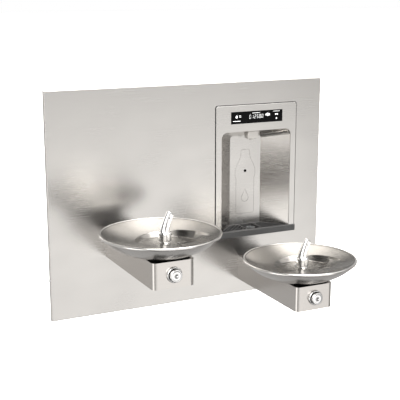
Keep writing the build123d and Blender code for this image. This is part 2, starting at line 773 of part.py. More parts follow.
def bottle_mark():
    """Pressed outline of a bottle and a drop on the bay's back panel."""
    bottle = [
        (-36, -107.5), (-36, 24), (-36, 63), (-17.5, 100), (-17.5, 124.5),
        (17.5, 124.5), (17.5, 100), (36, 63), (36, 24), (36, -107.5),
    ]
    outer = Polygon(*bottle, align=None)
    outer = fillet(outer.vertices(), 6)
    band = outer - offset(outer, -1.2)
    drop = Pos(0, -49) * Circle(14.5) + Polygon((-13.4, -43.5), (13.4, -43.5), (0, -19), align=None)
    return band + (drop - offset(drop, -1.2))


def make_filler_back_panel():
    """Upright panel at the back of the bay, with the sensor's hole and the bottle mark."""
    section = bay_section(bay_back_y, bay_back_width, panel_bottom + bay_back_top, bay_back_corner, liner_sheet)
    panel = extrude(section, -2 * liner_sheet)
    sensor = Vector(filler_x, bay_back_y - 1, sensor_z)
    panel -= rod(sensor, Vector(0, 1, 0), sensor_radius + joint_gap, 10)
    place = Plane(origin=(filler_x, bay_back_y, 0), x_dir=(1, 0, 0), z_dir=(0, -1, 0))
    panel -= extrude(place * bottle_mark(), -0.5)
    return panel


def make_display_window():
    """Glossy dark window flush with the surround."""
    return block(
        filler_x - window_width / 2, filler_x + window_width / 2,
        panel_front - surround_sheet, panel_front - surround_sheet + window_sheet,
        window_z - window_height / 2, window_z + window_height / 2,
    )


def make_display_board():
    """Display circuit board behind the window, with its row of digits."""
    board = block(
        filler_x - window_width / 2 + 8, filler_x + window_width / 2 - 8,
        panel_back, panel_back + board_sheet,
        window_z - window_height / 2 + 6, window_z + window_height / 2 - 6,
    )
    for index in range(6):
        x = filler_x - 30 + 12 * index
        board += block(x - 4, x + 4, panel_front + 0.2, panel_back, window_z - 7, window_z + 7)
    return board


def make_sensor_window():
    """Small dark lens in the bay's back panel."""
    return rod(Vector(filler_x, bay_back_y - 0.6, sensor_z), Vector(0, 1, 0), sensor_radius, 4)


def make_sensor_module():
    """Bottle sensor behind its lens."""
    y0 = bay_back_y + 2 * liner_sheet + 0.6
    box = block(filler_x - 15, filler_x + 15, y0, y0 + 16, sensor_z - 20, sensor_z + 20)
    return fillet(box.edges().filter_by(Axis.Y), 3)


def make_nozzle_housing():
    """Rounded block under the bay's top that holds the spout."""
    half = nozzle_width / 2
    front = panel_front + nozzle_front_depth
    body = block(filler_x - half, filler_x + half, front, front + nozzle_length, nozzle_z, nozzle_z + 60)
    body = fillet(body.edges().filter_by(Axis.Z), nozzle_corner)
    body = fillet(body.faces().sort_by(Axis.Z)[0].edges(), 2)
    return (body & bay_volume(0)) - rod(
        Vector(filler_x, nozzle_y, nozzle_z - 1), Vector(0, 0, 1), nozzle_tip_radius + 0.1, 12) - nozzle_hole()


def make_nozzle_outlet():
    """Spout insert with its laminar screen and its tail through the bay's top."""
    up = Vector(0, 0, 1)
    low = nozzle_z - nozzle_tip_length
    insert = rod(Vector(filler_x, nozzle_y, low), up, nozzle_tip_radius, nozzle_tip_length + 10)
    insert += rod(Vector(filler_x, nozzle_y, low), up, 5, 44)
    insert -= rod(Vector(filler_x, nozzle_y, low), up, 6.5, 4)
    insert -= rod(Vector(filler_x, nozzle_y, low), up, tube_radius, 44)
    return insert


def tray_plan(inset):
    """Plan of the drip tray inside the bay, narrowing towards the back."""
    front = panel_front
    back = bay_back_y
    wide = bay_width / 2 - inset
    narrow = bay_back_width / 2 - inset
    outline = [
        (filler_x - wide, front + inset), (filler_x + wide, front + inset),
        (filler_x + narrow, back - inset), (filler_x - narrow, back - inset),
    ]
    return Polygon(*outline, align=None)


def make_drip_tray():
    """Dark tray with a front lip, a shallow pocket and slanted drain ribs."""
    low = surround_bottom_z
    high = tray_top_z
    body = Pos(0, 0, low + tray_step) * extrude(tray_plan(0), high - low - tray_step)
    half = tray_width / 2
    lip = block(filler_x - half, filler_x + half, panel_front - tray_lip_proud, panel_front, low, high)
    lip = fillet(lip.edges().filter_by(Axis.Z).sort_by(Axis.Y)[:2], 3)
    lip = fillet(lip.faces().sort_by(Axis.Y)[0].edges().filter_by(Axis.X), 2)
    pocket = Pos(0, 0, high - tray_pocket) * extrude(tray_plan(tray_wall), tray_pocket)
    body -= pocket
    ribs = Part()
    slant = (bay_width - bay_back_width) / 2
    for side in (-1, 1):
        for index in range(7):
            front_x = filler_x + side * (bay_width / 2 - tray_wall - rib_pitch * (index + 0.6))
            run = Polygon(
                (front_x - rib_width / 2, panel_front), (front_x + rib_width / 2, panel_front),
                (front_x + rib_width / 2 - side * slant, bay_back_y), (front_x - rib_width / 2 - side * slant, bay_back_y),
                align=None,
            )
            ribs += Pos(0, 0, high - tray_pocket) * extrude(run, tray_pocket - 0.5)
    keep = block(filler_x - bay_width, filler_x - 2 * tray_drain_radius, panel_front, bay_back_y, low, high)
    keep += block(filler_x + 2 * tray_drain_radius, filler_x + bay_width, panel_front, bay_back_y, low, high)
    ribs = ribs & pocket & keep
    for side in (-1, 1):
        x = filler_x + side * 28
        bar = block(x - 2, x + 2, panel_front, bay_back_y - tray_wall + 1, high - tray_pocket, high)
        ribs += bar
    body = body + lip + ribs
    drain = Vector(filler_x, tray_drain_y, low - 1)
    return body - rod(drain, Vector(0, 0, 1), tray_drain_hole + hole_gap, 60)


def make_tray_drain():
    """Slotted drain ring in the tray's pocket, with its tail below."""
    up = Vector(0, 0, 1)
    floor = tray_top_z - tray_pocket
    ring = rod(Vector(filler_x, tray_drain_y, floor), up, tray_drain_radius, tray_pocket - 1.5)
    ring -= rod(Vector(filler_x, tray_drain_y, floor + 2), up, tray_drain_radius - 3, tray_pocket)
    tail = rod(Vector(filler_x, tray_drain_y, surround_bottom_z - 14), up, tray_drain_hole, floor - surround_bottom_z + 14)
    ring += tail
    ring -= rod(Vector(filler_x, tray_drain_y, surround_bottom_z - 14), up, tray_drain_hole - 1.5, 60)
    grate = block(
        filler_x - tray_drain_radius + 2, filler_x + tray_drain_radius - 2,
        tray_drain_y - 1, tray_drain_y + 1, floor + 2, floor + 4,
    )
    cross = Pos(filler_x, tray_drain_y, 0) * Rot(0, 0, 90) * Pos(-filler_x, -tray_drain_y, 0) * grate
    return ring + grate + cross


def make_tray_waste():
    """Tube from the tray's drain down to the collecting waste pipe."""
    top = surround_bottom_z - 2
    points = [
        (filler_x, tray_drain_y, top - 2),
        (filler_x, tray_drain_y, top - 44),
        (filler_x - tray_waste_shift, waste_y_behind, top - 68),
        (filler_x - tray_waste_shift, waste_y_behind, collector_z + collector_radius),
    ]
    return tube(points, [24, 14], tray_drain_hole + 1.4, 1.2)


# ---------------------------------------------------------------- services behind the panel
def make_service_plate():
    """Galvanised plate between the left arm's rail and the spine, for the filler's services."""
    left = -arm_pitch / 2 + rail_x + rail_member / 2
    right = spine_x - rail_member / 2
    return block(left, right, plate_back - plate_sheet, plate_back, plate_low, plate_high)


def solenoid_axis_y(distance):
    """Place along the solenoid's plunger axis, from the service plate."""
    return Vector(solenoid_x, plate_back + distance, solenoid_z)


def make_solenoid_body():
    """Valve block with its ports and the closed guide tube of its plunger."""
    half = solenoid_block / 2
    along = Vector(0, 1, 0)
    up = Vector(0, 0, 1)
    depth = 30.0
    body = block(
        solenoid_x - half, solenoid_x + half, plate_back, plate_back + depth,
        solenoid_z - half, solenoid_z + half,
    )
    centre_y = plate_back + depth / 2 - 2
    body += rod(Vector(solenoid_x, centre_y, solenoid_z - half - 12), up, 8, solenoid_block + 24)
    body += rod(solenoid_axis_y(depth), along, solenoid_guide, solenoid_guide_length)
    body -= rod(solenoid_axis_y(10), along, solenoid_plunger_radius + running_fit, depth - 12 + solenoid_guide_length)
    bottom = Vector(solenoid_x, centre_y, solenoid_z - half - 12)
    body -= rod(bottom, up, tube_radius, 8)
    body -= rod(bottom, up, tube_radius - tube_wall, half + 6)
    body -= rod(bottom + Vector(0, 0, solenoid_block + 16), up, tube_radius, 8)
    body -= rod(bottom + Vector(0, 0, half + 18), up, tube_radius - tube_wall, half + 6)
    return body


def make_solenoid_coil():
    """Coil round the plunger's guide tube."""
    along = Vector(0, 1, 0)
    start = solenoid_axis_y(31)
    coil = rod(start, along, coil_radius, solenoid_guide_length - 5)
    coil -= rod(start, along, solenoid_guide + 0.2, solenoid_guide_length)
    coil += block(
        start.X - 9, start.X + 9, start.Y + 4, start.Y + 20,
        start.Z + coil_radius - 4, start.Z + coil_radius + 8,
    )
    return coil


def make_solenoid_plunger():
    """Iron plunger that lifts off the valve's seat."""
    return rod(solenoid_axis_y(12), Vector(0, 1, 0), solenoid_plunger_radius, solenoid_plunger_length)


def make_solenoid_spring():
    """Closing spring behind the plunger."""
    start = solenoid_axis_y(12 + solenoid_plunger_length)
    length = 30 - 2 + solenoid_guide_length - 12 - solenoid_plunger_length
    return coil_spring(start, length, 3.5, 0.4, 5)


def make_supply_manifold():
    """Brass inlet block with its strainer and three branches."""
    half = manifold_length / 2
    y = supply_y_behind
    body = block(
        spine_x - half, spine_x + half, y - manifold_block / 2, y + manifold_block / 2,
        manifold_z - manifold_block / 2, manifold_z + manifold_block / 2,
    )
    body = fillet(body.edges().filter_by(Axis.X), 3)
    body += block(spine_x - 12, spine_x + 12, 0, y, manifold_z - 6, manifold_z + 6)
    down = Vector(0, 0, -1)
    body += rod(Vector(spine_x, y, manifold_z), down, 11, 34)
    body += rod(Vector(spine_x, y, manifold_z), down, inlet_radius, inlet_length)
    body -= rod(Vector(spine_x - half, y, manifold_z), Vector(1, 0, 0), tube_radius, manifold_length)
    body -= rod(Vector(solenoid_x, y, manifold_z), Vector(0, 0, 1), tube_radius, manifold_block)
    body -= rod(Vector(spine_x, y, manifold_z), down, inlet_radius - 1.2, inlet_length)
    return body


def make_supply_tube(x, z, side):
    """Tube from the manifold, through the panel and along the arm to its valve."""
    level = z + supply_rise
    edge = spine_x + side * (manifold_length / 2 - 8)
    lane = arm_width / 2 - arm_sheet - arm_foot - 4
    points = [
        (x - port_reach + 6, port_y, level),
        (x - lane, port_y, level),
        (x - lane, panel_front - 66, level),
        (x + supply_x, panel_front - 26, level),
        (x + supply_x, supply_y_behind, level),
        (x + supply_x, supply_y_behind, manifold_z),
        (edge, supply_y_behind, manifold_z),
    ]
    return tube(points, [16, 24, 22, 16, 16], tube_radius - 0.02, tube_wall)


def make_solenoid_feed():
    """Tube from the manifold up to the solenoid valve."""
    y = plate_back + 13
    points = [
        (solenoid_x, supply_y_behind, manifold_z + 4),
        (solenoid_x, supply_y_behind, manifold_z + 70),
        (solenoid_x, y, solenoid_z - 80),
        (solenoid_x, y, solenoid_z - solenoid_block / 2 - 6),
    ]
    return tube(points, 60, tube_radius - 0.02, tube_wall)


def make_filler_tube():
    """Tube from the solenoid valve up and across to the nozzle."""
    y = plate_back + 13
    top = window_z - 12
    tail = nozzle_z - nozzle_tip_length + 44
    points = [
        (solenoid_x, y, solenoid_z + solenoid_block / 2 + 6),
        (solenoid_x, y, top),
        (filler_x, nozzle_y, top),
        (filler_x, nozzle_y, tail - 10),
    ]
    return tube(points, [30, 12], tube_radius - 0.02, tube_wall)


def make_control_box():
    """Power and control box of the filler."""
    left = control_right - control_width
    low = control_top - control_height
    depth = plate_back + control_depth
    wall = 3.0
    box = block(left, control_right, plate_back, depth, low, control_top)
    box = fillet(box.edges().filter_by(Axis.Y), 5)
    box -= block(left + wall, control_right - wall, plate_back + wall, depth + 1, low + wall, control_top - wall)
    for drop in (15, 35, 65):
        lead = Vector(control_right - 8, plate_back + 22, control_top - drop)
        box -= rod(lead, Vector(1, 0, 0), wire_radius + hole_gap, 20)
    return box


def make_control_box_lid():
    """Lid of the control box."""
    y0 = plate_back + control_depth
    lid = block(control_right - control_width, control_right, y0, y0 + 2, control_top - control_height, control_top)
    return fillet(lid.edges().filter_by(Axis.Y), 5)


def make_wiring():
    """The leads from the control box to the display, the sensor and the solenoid."""
    y = plate_back + 22
    start = control_right - 6
    behind = bay_back_y + 2 * liner_sheet + 8.6
    display = cable([
        (start, y, control_top - 15), (start + 70, y, control_top - 15), (120, y + 8, window_z - 4),
        (filler_x - 60, y, window_z), (filler_x - 60, panel_back + board_sheet, window_z),
    ], [30, 40, 20], wire_radius)
    sensor = cable([
        (start, y, control_top - 35), (start + 90, y, control_top - 35), (140, behind, sensor_z + 30),
        (filler_x - 60, behind, sensor_z), (filler_x - 15, behind, sensor_z),
    ], [40, 40, 20], wire_radius)
    coil_top = solenoid_z + coil_radius + 8
    coil_y = plate_back + 43
    solenoid = cable([
        (start, y, control_top - 65), (start + 36, y, control_top - 65),
        (solenoid_x, coil_y, 40), (solenoid_x, coil_y, coil_top),
    ], [16, 14], wire_radius)
    return [display, sensor, solenoid]


def waste_network(inset, socket, start, end):
    """The collecting pipework as solid rods, moved inwards, with a start and an end allowance."""
    left_x, left_z = fountains["left"]
    stack_x = left_x + waste_x
    far_x = fountains["right"][0] + waste_x
    top_z = left_z + waste_axis_rise + stack_overrun
    outlet_z = collector_z - waste_outlet_drop
    shoulder_z = outlet_z + outlet_length
    up = Vector(0, 0, 1)
    y = waste_y_behind
    mouth_y = y - stack_radius - socket_reach
    pipes = rod(Vector(stack_x, y, outlet_z - start), up, outlet_radius - inset, outlet_length + start + end)
    pipes += rod(Vector(stack_x, y, shoulder_z + end), up, stack_radius - inset, top_z - shoulder_z - 2 * end)
    collector_length = far_x + stack_overrun - stack_x - end
    pipes += rod(Vector(stack_x, y, collector_z), Vector(1, 0, 0), collector_radius - inset, collector_length)
    for x, z in ((stack_x, left_z + waste_axis_rise), (far_x, collector_z)):
        pipes += rod(Vector(x, mouth_y - start, z), Vector(0, 1, 0), socket, y - mouth_y + start)
    return pipes


def make_waste_manifold():
    """Collecting waste pipe with a socket for each arm and the outlet to the trap."""
    socket = waste_radius + hole_gap + waste_wall
    pipes = waste_network(0, socket, 0, 0)
    inside = waste_network(waste_wall, socket - waste_wall, 1, waste_wall)
    port = Vector(filler_x - tray_waste_shift, waste_y_behind, collector_z)
    return pipes - inside - rod(port, Vector(0, 0, 1), tray_drain_hole, 2 * waste_radius)


# ---------------------------------------------------------------- write one STEP per piece
def group(shapes):
    """Several separate solids in one node."""
    return Compound(children=list(shapes))


def save(name, shape):
    """Write one node."""
    export_step(shape, f"parts/{name}.step")


arm_pieces = {
    "arm_shell": make_arm_shell,
    "bottom_cover": make_bottom_cover,
    "bowl_saddle": make_bowl_saddle,
    "bowl": make_bowl,
    "bowl_underside": make_bowl_underside,
    "bubbler": make_bubbler,
    "bowl_strainer": make_strainer,
    "waste_pipe": make_waste_pipe,
    "button_ring": make_button_ring,
    "button_cap": make_button_cap,
    "button_spring": make_button_spring,
    "valve_body": make_valve_body,
    "valve_plunger": make_valve_plunger,
    "bubbler_tube": make_outlet_tube,
}
for piece, make in arm_pieces.items():
    shape = make()
    for name, (x, z) in fountains.items():
        save(f"{name}_{piece}", Pos(x, 0, z) * shape)

for name, (x, z) in fountains.items():
    save(f"{name}_supply_tube", make_supply_tube(x, z, 1 if x > spine_x else -1))

arm_fasteners = {
    "arm_bolts": make_arm_bolts,
    "cover_screws": make_cover_screws,
    "bubbler_nuts": lambda: [make_bubbler_nut()],
}
for piece, make in arm_fasteners.items():
    save(piece, group(Pos(x, 0, z) * solid for x, z in fountains.values() for solid in make()))

save("panel_screws", group(make_panel_screws()))
save("wiring", group(make_wiring()))

single_pieces = {
    "back_panel": make_back_panel,
    "wall_frame": make_wall_frame,
    "filler_surround": make_filler_surround,
    "filler_liner": make_filler_liner,
    "filler_back_panel": make_filler_back_panel,
    "display_window": make_display_window,
    "display_board": make_display_board,
    "sensor_window": make_sensor_window,
    "sensor_module": make_sensor_module,
    "nozzle_housing": make_nozzle_housing,
    "nozzle_outlet": make_nozzle_outlet,
    "drip_tray": make_drip_tray,
    "tray_drain": make_tray_drain,
    "tray_waste_tube": make_tray_waste,
    "service_plate": make_service_plate,
    "solenoid_body": make_solenoid_body,
    "solenoid_coil": make_solenoid_coil,
    "solenoid_plunger": make_solenoid_plunger,
    "solenoid_spring": make_solenoid_spring,
    "supply_manifold": make_supply_manifold,
    "solenoid_feed_tube": make_solenoid_feed,
    "filler_tube": make_filler_tube,
    "control_box": make_control_box,
    "control_box_lid": make_control_box_lid,
    "waste_manifold": make_waste_manifold,
}
for name, make in single_pieces.items():
    save(name, make())
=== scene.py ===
import json
import math

import bmesh
import bpy
import numpy as np
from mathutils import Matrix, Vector


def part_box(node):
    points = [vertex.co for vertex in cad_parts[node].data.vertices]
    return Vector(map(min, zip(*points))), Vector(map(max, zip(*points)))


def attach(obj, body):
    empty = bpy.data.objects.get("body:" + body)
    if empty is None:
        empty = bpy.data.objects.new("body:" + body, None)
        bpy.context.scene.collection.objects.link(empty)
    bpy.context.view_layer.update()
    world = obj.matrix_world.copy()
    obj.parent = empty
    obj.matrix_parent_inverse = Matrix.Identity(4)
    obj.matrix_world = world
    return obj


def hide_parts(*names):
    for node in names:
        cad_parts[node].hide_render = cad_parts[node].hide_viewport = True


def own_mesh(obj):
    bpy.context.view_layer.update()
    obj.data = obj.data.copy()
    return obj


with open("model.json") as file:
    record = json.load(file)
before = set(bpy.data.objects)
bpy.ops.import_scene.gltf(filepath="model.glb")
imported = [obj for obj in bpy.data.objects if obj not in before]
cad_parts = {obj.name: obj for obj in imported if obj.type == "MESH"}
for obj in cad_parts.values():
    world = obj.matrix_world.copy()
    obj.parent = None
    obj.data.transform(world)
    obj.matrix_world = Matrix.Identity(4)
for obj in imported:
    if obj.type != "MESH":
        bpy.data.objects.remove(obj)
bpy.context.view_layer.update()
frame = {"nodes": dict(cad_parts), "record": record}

MM = 0.001


# ---------------------------------------------------------------- colour and material helpers
def linear(code, alpha=1.0):
    """An sRGB hex colour as linear values."""
    parts = [int(code[i:i + 2], 16) / 255 for i in (1, 3, 5)]
    return [p / 12.92 if p <= 0.04045 else ((p + 0.055) / 1.055) ** 2.4 for p in parts] + [alpha]


def add(tree, kind, links=None, **settings):
    """Adds one node. Links map its sockets to other nodes' outputs; settings are its
    properties, or its sockets' values when they begin with in_ and a socket number."""
    node = tree.nodes.new(kind)
    for key, value in settings.items():
        if key.startswith("in_"):
            node.inputs[int(key[3:])].default_value = value
        else:
            setattr(node, key, value)
    for socket, output in (links or {}).items():
        tree.links.new(output, node.inputs[socket])
    return node


def new_material(name, **sockets):
    """A material and its principled shader, with plain values set on the shader's own sockets."""
    material = bpy.data.materials.new(name)
    material.use_nodes = True
    shader = material.node_tree.nodes["Principled BSDF"]
    for key, value in sockets.items():
        shader.inputs[key.replace("_", " ")].default_value = value
    return material, material.node_tree, shader


def ramp(tree, factor, stops):
    """A colour ramp with its stops given as (place, colour)."""
    node = add(tree, "ShaderNodeValToRGB", {0: factor})
    elements = node.color_ramp.elements
    while len(elements) < len(stops):
        elements.new(0.5)
    for element, (place, colour) in zip(elements, stops):
        element.position = place
        element.color = colour
    return node.outputs[0]


def stretched_noise(tree, fine, detail=3.0, rough=0.6):
    """Noise on object coordinates whose grain is the three given sizes in metres along X, Y and Z."""
    place = add(tree, "ShaderNodeTexCoord").outputs["Object"]
    scale = [1.0 / size for size in fine]
    scaled = add(tree, "ShaderNodeMapping", {0: place}, in_3=scale).outputs[0]
    return add(tree, "ShaderNodeTexNoise", {0: scaled}, in_2=1.0, in_3=detail, in_4=rough).outputs[0]


def spread(tree, value, low, high, to_low, to_high):
    """Maps one range of a value onto another."""
    node = add(tree, "ShaderNodeMapRange", {0: value}, in_1=low, in_2=high, in_3=to_low, in_4=to_high)
    return node.outputs[0]


def brushed_steel(name, shades, grain, rough, anisotropic, bump):
    """Satin stainless sheet: shades are the darker and lighter tone between its brush marks."""
    material, tree, shader = new_material(name, Metallic=1.0, Anisotropic=anisotropic)
    streaks = stretched_noise(tree, grain)
    cloud = stretched_noise(tree, (0.16, 0.16, 0.10), detail=1.0)
    tone = ramp(tree, streaks, [(0.30, linear(shades[0])), (0.70, linear(shades[1]))])
    tree.links.new(tone, shader.inputs["Base Color"])
    finish = add(
        tree, "ShaderNodeMath", {0: spread(tree, streaks, 0.3, 0.7, rough[0], rough[1]),
                                 1: spread(tree, cloud, 0.3, 0.7, -0.02, 0.02)},
        operation="ADD",
    ).outputs[0]
    tree.links.new(finish, shader.inputs["Roughness"])
    relief = add(tree, "ShaderNodeBump", {"Height": streaks}, in_0=bump, in_1=0.0002)
    tree.links.new(relief.outputs[0], shader.inputs["Normal"])
    upright = add(tree, "ShaderNodeCombineXYZ", in_2=1.0)
    tree.links.new(upright.outputs[0], shader.inputs["Tangent"])
    return material


# ---------------------------------------------------------------- materials
# Brush marks in metres along X, Y and Z: long, level and fine.
LONG_GRAIN = (0.260, 0.260, 0.0007)
# 304 stainless sheet, No. 4 finish, brushed level: soft grey with faint level lines
# that are drawn about 1 mm apart, coarser than the real 0.1 mm, so that they show.
PANEL_STEEL = brushed_steel(
    "stainless_panel_brushed_level", ("#D3D1CE", "#D9D7D4"), LONG_GRAIN, (0.24, 0.27), 0.45, 0.008)
# The same sheet folded into the arms; its lines run along the arm.
ARM_STEEL = brushed_steel(
    "stainless_arm_brushed_along", ("#CFCBC7", "#D8D5D1"), LONG_GRAIN, (0.20, 0.24), 0.35, 0.01)
# Filler bezel: a lighter satin sheet, raised from the panel.
SURROUND_STEEL = brushed_steel(
    "stainless_bezel_satin", ("#D6D4D1", "#DCDAD7"), LONG_GRAIN, (0.24, 0.27), 0.3, 0.008)
# Bay liner: coarse level brushing that shows as short streaks on the splayed side.
LINER_STEEL = brushed_steel(
    "stainless_liner_coarse_brushed", ("#BFBCB8", "#D6D3CF"), (0.060, 0.060, 0.0016), (0.20, 0.28), 0.3, 0.03)
# Back of the bay: the palest satin sheet, with shorter marks.
BACK_STEEL = brushed_steel(
    "stainless_bay_back_satin", ("#D6D4D1", "#DCDAD7"), (0.200, 0.200, 0.0010), (0.26, 0.30), 0.3, 0.01)


RIM_EDGE = 176.5          # radius in millimetres where the bowls' polished rolled rim begins


def turned_steel(name, shades, polish, ring_mm, rough):
    """Spun stainless bowl: very fine rings round its axis, and a polished rolled rim."""
    material, tree, shader = new_material(name, Metallic=1.0, Anisotropic=0.85)
    place = add(tree, "ShaderNodeUVMap", uv_map="turning").outputs[0]
    radius = add(tree, "ShaderNodeSeparateXYZ", {0: place}).outputs[0]
    outward = add(tree, "ShaderNodeTangent", direction_type="UV_MAP", uv_map="turning").outputs[0]
    tree.links.new(outward, shader.inputs["Tangent"])
    rings = add(
        tree, "ShaderNodeTexNoise", {1: radius}, noise_dimensions="1D", in_2=1.0 / (ring_mm * MM), in_3=2.0)
    smudge = stretched_noise(tree, (0.05, 0.05, 0.05), detail=2.0)
    tone = ramp(tree, rings.outputs[0], [(0.3, linear(shades[0])), (0.7, linear(shades[1]))])
    rolled = spread(tree, radius, RIM_EDGE * MM, (RIM_EDGE + 1.0) * MM, 0.0, 1.0)
    tone = add(tree, "ShaderNodeMix", {0: rolled, 6: tone}, data_type="RGBA", in_7=linear(polish)).outputs[2]
    tree.links.new(tone, shader.inputs["Base Color"])
    finish = add(
        tree, "ShaderNodeMath", {0: spread(tree, rings.outputs[0], 0.3, 0.7, rough[0], rough[1]),
                                 1: spread(tree, smudge, 0.3, 0.7, -0.02, 0.02)},
        operation="ADD",
    ).outputs[0]
    finish = add(tree, "ShaderNodeMix", {0: rolled, 2: finish}, data_type="FLOAT", in_3=0.14).outputs[0]
    tree.links.new(finish, shader.inputs["Roughness"])
    relief = add(tree, "ShaderNodeBump", {"Height": rings.outputs[0]}, in_0=0.04, in_1=0.0002)
    tree.links.new(relief.outputs[0], shader.inputs["Normal"])
    return material


# Spun stainless. Its inside is painted a far darker grey than the rim and underside of the same sheet, as
# painted shade for the flare's sides, with light wedges where a lamp is, and a bright rolled rim; its turning
# rings are drawn 1.5 mm apart.
BOWL_STEEL = turned_steel("stainless_bowl_spun_satin", ("#878581", "#999692"), "#E9E7E4", 1.5, (0.22, 0.26))


def speckled(name, shades, grain_mm, rough, bump, **sockets):
    """A cast, moulded or plated surface with a fine even grain in its tone, gloss and relief."""
    material, tree, shader = new_material(name, **sockets)
    size = grain_mm * MM
    grain = stretched_noise(tree, (size, size, size))
    tone = ramp(tree, grain, [(0.35, linear(shades[0])), (0.65, linear(shades[1]))])
    tree.links.new(tone, shader.inputs["Base Color"])
    tree.links.new(spread(tree, grain, 0.3, 0.7, rough[0], rough[1]), shader.inputs["Roughness"])
    relief = add(tree, "ShaderNodeBump", {"Height": grain}, in_0=bump, in_1=0.0002)
    tree.links.new(relief.outputs[0], shader.inputs["Normal"])
    return material


# Chromium plate on polished brass: near-mirror, with barely visible hazing.
CHROME = speckled("chrome_plate_polished", ("#F2F2F2", "#F8F8F7"), 18, (0.15, 0.19), 0.01, Metallic=1.0)
# Moulded ABS drip tray, dark grey with a fine spark texture.
TRAY_ABS = speckled("abs_tray_spark_textured", ("#303030", "#3D3D3D"), 0.8, (0.45, 0.58), 0.25)
# Black powder coat on the saddle: slightly pebbled.
POWDER_BLACK = speckled("powder_coat_black", ("#0C0C0C", "#151515"), 1.0, (0.5, 0.65), 0.3)
# Silver-grey moulded ABS with a metallic paint, for the spout block.
SILVER_ABS = speckled("abs_silver_painted", ("#B9B6B2", "#C6C3BF"), 1.2, (0.30, 0.40), 0.08, Metallic=0.6)
# Moulded ABS of the sensor's housing and the control box: near black, dull.
BLACK_ABS = speckled("abs_black_fine_textured", ("#121213", "#1B1B1C"), 0.7, (0.45, 0.6), 0.2)
# Printed acrylic over the display: deep gloss black.
ACRYLIC_BLACK = speckled(
    "acrylic_black_gloss", ("#020203", "#050506"), 30, (0.10, 0.14), 0.0, Specular_IOR_Level=0.08)
# Hot-dip galvanised steel: mottled spangle, dull.
GALVANISED = speckled("galvanised_spangle", ("#8E9294", "#B1B4B5"), 14, (0.38, 0.55), 0.08, Metallic=1.0)
# Forged brass fittings, dull yellow with a sand-cast grain.
BRASS = speckled("brass_forged", ("#B08D4C", "#C9A765"), 1.5, (0.30, 0.42), 0.2, Metallic=1.0)
# Zinc-plated bolts, springs and stems: cool and fairly bright.
BRIGHT_STEEL = speckled("steel_zinc_plated", ("#B3B5B7", "#C6C8C9"), 2.0, (0.24, 0.34), 0.06, Metallic=1.0)
# Natural polyethylene tube: milky and smooth.
POLY_TUBE = speckled(
    "polyethylene_tube_natural", ("#D3D8DA", "#E0E4E6"), 6, (0.35, 0.45), 0.03, Subsurface_Weight=0.2)
# Grey-white PVC waste pipe.
PVC = speckled("pvc_waste_white", ("#D6D6D2", "#E2E2DE"), 5, (0.35, 0.45), 0.04)
# Black cable jacket: soft sheen.
PVC_BLACK = speckled("pvc_cable_jacket", ("#101010", "#191919"), 1.0, (0.45, 0.6), 0.1)
# Solder-masked glass epoxy board.
BOARD_GREEN = speckled("board_solder_mask_green", ("#0E4A2A", "#136338"), 2.5, (0.25, 0.4), 0.1)
# Moulded coil: black with a blue cast.
RESIN = speckled("coil_moulding_resin", ("#17171C", "#222229"), 0.8, (0.4, 0.55), 0.15)

# Satin underside of the bowls, drawn steel with a soft even grain.
SKIN_STEEL = speckled(
    "stainless_bowl_underside_satin", ("#C9C7C4", "#D4D2CF"), 3.0, (0.22, 0.27), 0.02, Metallic=1.0)
# Soft black rubber for the jet and the button's centre mark. Laid in the groove round the bezel, it is
# painted shade: a black band standing for the shadow in the gap between panel and bezel.
BLACK_RUBBER_AND_GAP_SHADE = speckled("epdm_black_rubber_and_gap_shade", ("#0B0B0B", "#151515"), 0.8, (0.6, 0.75), 0.2)
# White screen print on the display, lit from behind.
PRINT_WHITE = speckled(
    "ink_white_backlit", ("#F2F4F5", "#FFFFFF"), 4, (0.4, 0.5), 0.0,
    Emission_Color=linear("#F4F7F8"), Emission_Strength=0.55)
# Grey etched line of the pictograms on the bay's back.
ETCHED = speckled("steel_etched_line", ("#77736F", "#8B8783"), 0.9, (0.5, 0.65), 0.1, Metallic=0.6)

by_slot = {
    "panel_steel": PANEL_STEEL, "arm_steel": ARM_STEEL, "bowl_steel": BOWL_STEEL, "black_paint": POWDER_BLACK,
    "chrome": CHROME, "strainer_steel": BRIGHT_STEEL, "waste_chrome": CHROME, "spring_steel": BRIGHT_STEEL,
    "brass": BRASS, "plunger_steel": BRIGHT_STEEL, "water_tube": POLY_TUBE, "bolt_steel": BRIGHT_STEEL,
    "cable_jacket": PVC_BLACK, "galvanised": GALVANISED, "surround_steel": SURROUND_STEEL,
    "liner_steel": LINER_STEEL, "back_steel": BACK_STEEL, "display_gloss": ACRYLIC_BLACK,
    "circuit_board": BOARD_GREEN, "black_plastic": BLACK_ABS, "grey_plastic": SILVER_ABS,
    "tray_plastic": TRAY_ABS, "waste_plastic": PVC, "coil_resin": RESIN,
}
for part in frame["record"]["subparts"]:
    slots = frame["nodes"][part["node"]].data.materials
    slots.clear()
    slots.append(SKIN_STEEL if part["node"].endswith("_underside") else by_slot[part["material_slot"]])


# ---------------------------------------------------------------- mesh helpers
def surface(name, points, material, body, wrap_rows=False, wrap_columns=False, smooth=True, uv=None):
    """Mesh from a grid of points (rows, columns, 3). Each cell is one quad; a wrapped side joins
    its last line to its first. uv is an optional (rows, columns, 2) array."""
    rows, columns = points.shape[:2]
    index = np.arange(rows * columns).reshape(rows, columns)
    if wrap_rows:
        index = np.concatenate([index, index[:1]], axis=0)
    if wrap_columns:
        index = np.concatenate([index, index[:, :1]], axis=1)
    quads = np.stack([index[:-1, :-1], index[:-1, 1:], index[1:, 1:], index[1:, :-1]], axis=-1).reshape(-1, 4)
    mesh = bpy.data.meshes.new(name)
    mesh.from_pydata(points.reshape(-1, 3).tolist(), [], quads.tolist())
    if uv is not None:
        layer = mesh.uv_layers.new(name="turning")
        flat = uv.reshape(-1, 2)[quads.reshape(-1)]
        layer.data.foreach_set("uv", flat.astype(np.float32).ravel())
    mesh.polygons.foreach_set("use_smooth", np.full(len(quads), smooth))
    mesh.materials.append(material)
    piece = bpy.data.objects.new(name, mesh)
    bpy.context.scene.collection.objects.link(piece)
    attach(piece, body)
    return piece


